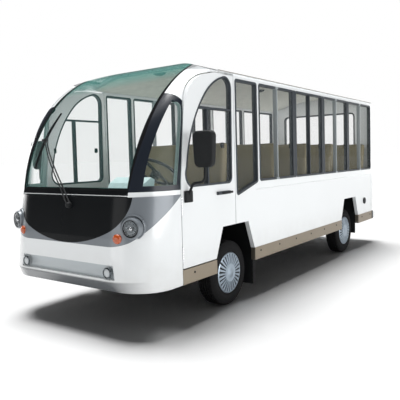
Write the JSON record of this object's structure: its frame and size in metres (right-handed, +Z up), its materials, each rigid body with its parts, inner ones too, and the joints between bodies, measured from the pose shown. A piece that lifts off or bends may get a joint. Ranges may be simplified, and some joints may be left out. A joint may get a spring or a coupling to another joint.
{
  "type": "electric minibus",
  "caption": "Enclosed electric shuttle bus with a tall curved windscreen, arched front doors, sliding side windows, rows of seats and small road wheels",
  "frame": {"origin": "on the road, under the middle of the overall box", "axes": "+X forward towards the nose, +Y to the driver's left, +Z up from the road"},
  "size_m": [5.127, 2.097, 2.1399],
  "materials": {
    "white_shell": "white gel-coated body panels",
    "black_panel": "black front panel and window surrounds",
    "silver_band": "silver-grey paint",
    "lamp_chrome": "bright lamp bowls",
    "amber_lens": "amber lenses",
    "lamp_clear": "clear lenses",
    "red_lens": "red lenses",
    "screen_glass": "green-tinted glass",
    "side_glass": "grey-tinted glass",
    "frame_black": "dark frames and rubbers",
    "sill_metal": "plain metal strips",
    "black_plastic": "black moulded plastic",
    "floor_sheet": "covered floor",
    "chassis_paint": "black chassis paint",
    "spring_steel": "black paint",
    "battery_case": "grey paint",
    "dash_plastic": "pale moulded plastic",
    "seat_cover": "khaki covers",
    "plinth_paint": "grey paint",
    "tyre_rubber": "black rubber",
    "wheel_cover": "silver covers"
  },
  "bodies": {
    "body": {"front_mask": "white_shell", "nose_panel": "black_panel", "lamp_band": "silver_band", "headlamps": "lamp_chrome", "indicators": "amber_lens", "fog_lamps": "lamp_clear", "windscreen": "screen_glass", "screen_sill": "black_panel", "front_corners": "white_shell", "quarter_frames": "black_panel", "quarter_glass": "side_glass", "roof": "white_shell", "side_walls": "white_shell", "window_frames": "frame_black", "window_glass": "side_glass", "rear_wall": "white_shell", "rear_frame": "frame_black", "rear_glass": "side_glass", "sill_strips": "sill_metal", "rear_bumper": "white_shell", "tail_lamps": "red_lens", "charge_cap": "black_plastic", "wheel_housings": "black_plastic", "floor": "floor_sheet", "frame_rails": "chassis_paint", "cross_members": "chassis_paint", "leaf_springs": "spring_steel", "battery": "battery_case", "front_axle": "chassis_paint", "rear_axle": "chassis_paint", "dashboard": "dash_plastic", "steering_wheel": "black_plastic", "seat_cushions": "seat_cover", "seat_backs": "seat_cover", "seat_plinths": "plinth_paint", "wiper": "black_plastic"},
    "front_door_left": {"door_left": "white_shell", "door_trim_left": "frame_black", "door_glass_left": "side_glass", "mirror_left": "black_plastic"},
    "steer_left": {"knuckle_left": "chassis_paint"},
    "front_door_right": {"door_right": "white_shell", "door_trim_right": "frame_black", "door_glass_right": "side_glass", "mirror_right": "black_plastic"},
    "steer_right": {"knuckle_right": "chassis_paint"},
    "track_rod": {"tie_rod": "chassis_paint"},
    "wheel_front_left": {"tyre_front_left": "tyre_rubber", "disc_front_left": "wheel_cover"},
    "wheel_front_right": {"tyre_front_right": "tyre_rubber", "disc_front_right": "wheel_cover"},
    "wheel_rear_left": {"tyre_rear_left": "tyre_rubber", "disc_rear_left": "wheel_cover"},
    "wheel_rear_right": {"tyre_rear_right": "tyre_rubber", "disc_rear_right": "wheel_cover"}
  },
  "joints": [
    {"name": "door_hinge_left", "type": "hinge", "parent": "body", "child": "front_door_left", "pos_m": [2.1065, 0.7985, 0.75], "axis": [0, 0, -1], "range_deg": [0, 70]},
    {"name": "door_hinge_right", "type": "hinge", "parent": "body", "child": "front_door_right", "pos_m": [2.1065, -0.7985, 0.75], "axis": [0, 0, 1], "range_deg": [0, 70]},
    {"name": "steer_left", "type": "hinge", "parent": "body", "child": "steer_left", "pos_m": [1.3415, 0.56, 0.281], "axis": [0, 0, 1], "range_deg": [-30, 30]},
    {"name": "steer_right", "type": "hinge", "parent": "body", "child": "steer_right", "pos_m": [1.3415, -0.56, 0.281], "axis": [0, 0, 1], "range_deg": [-30, 30]},
    {"name": "track_rod_slide", "type": "slide", "parent": "body", "child": "track_rod", "axis": [0, 1, 0], "range_m": [-0.063, 0.063]},
    {"name": "spin_front_left", "type": "hinge", "parent": "steer_left", "child": "wheel_front_left", "pos_m": [1.3415, 0.637, 0.281], "axis": [0, 1, 0], "continuous": true},
    {"name": "spin_front_right", "type": "hinge", "parent": "steer_right", "child": "wheel_front_right", "pos_m": [1.3415, -0.637, 0.281], "axis": [0, 1, 0], "continuous": true},
    {"name": "spin_rear_left", "type": "hinge", "parent": "body", "child": "wheel_rear_left", "pos_m": [-1.4735, 0.637, 0.281], "axis": [0, 1, 0], "continuous": true},
    {"name": "spin_rear_right", "type": "hinge", "parent": "body", "child": "wheel_rear_right", "pos_m": [-1.4735, -0.637, 0.281], "axis": [0, 1, 0], "continuous": true}
  ],
  "couplings": [
    {"joint": "steer_right", "follows": "steer_left", "ratio": 1},
    {"joint": "track_rod_slide", "follows": "steer_left", "m_per_rad": -0.12}
  ]
}
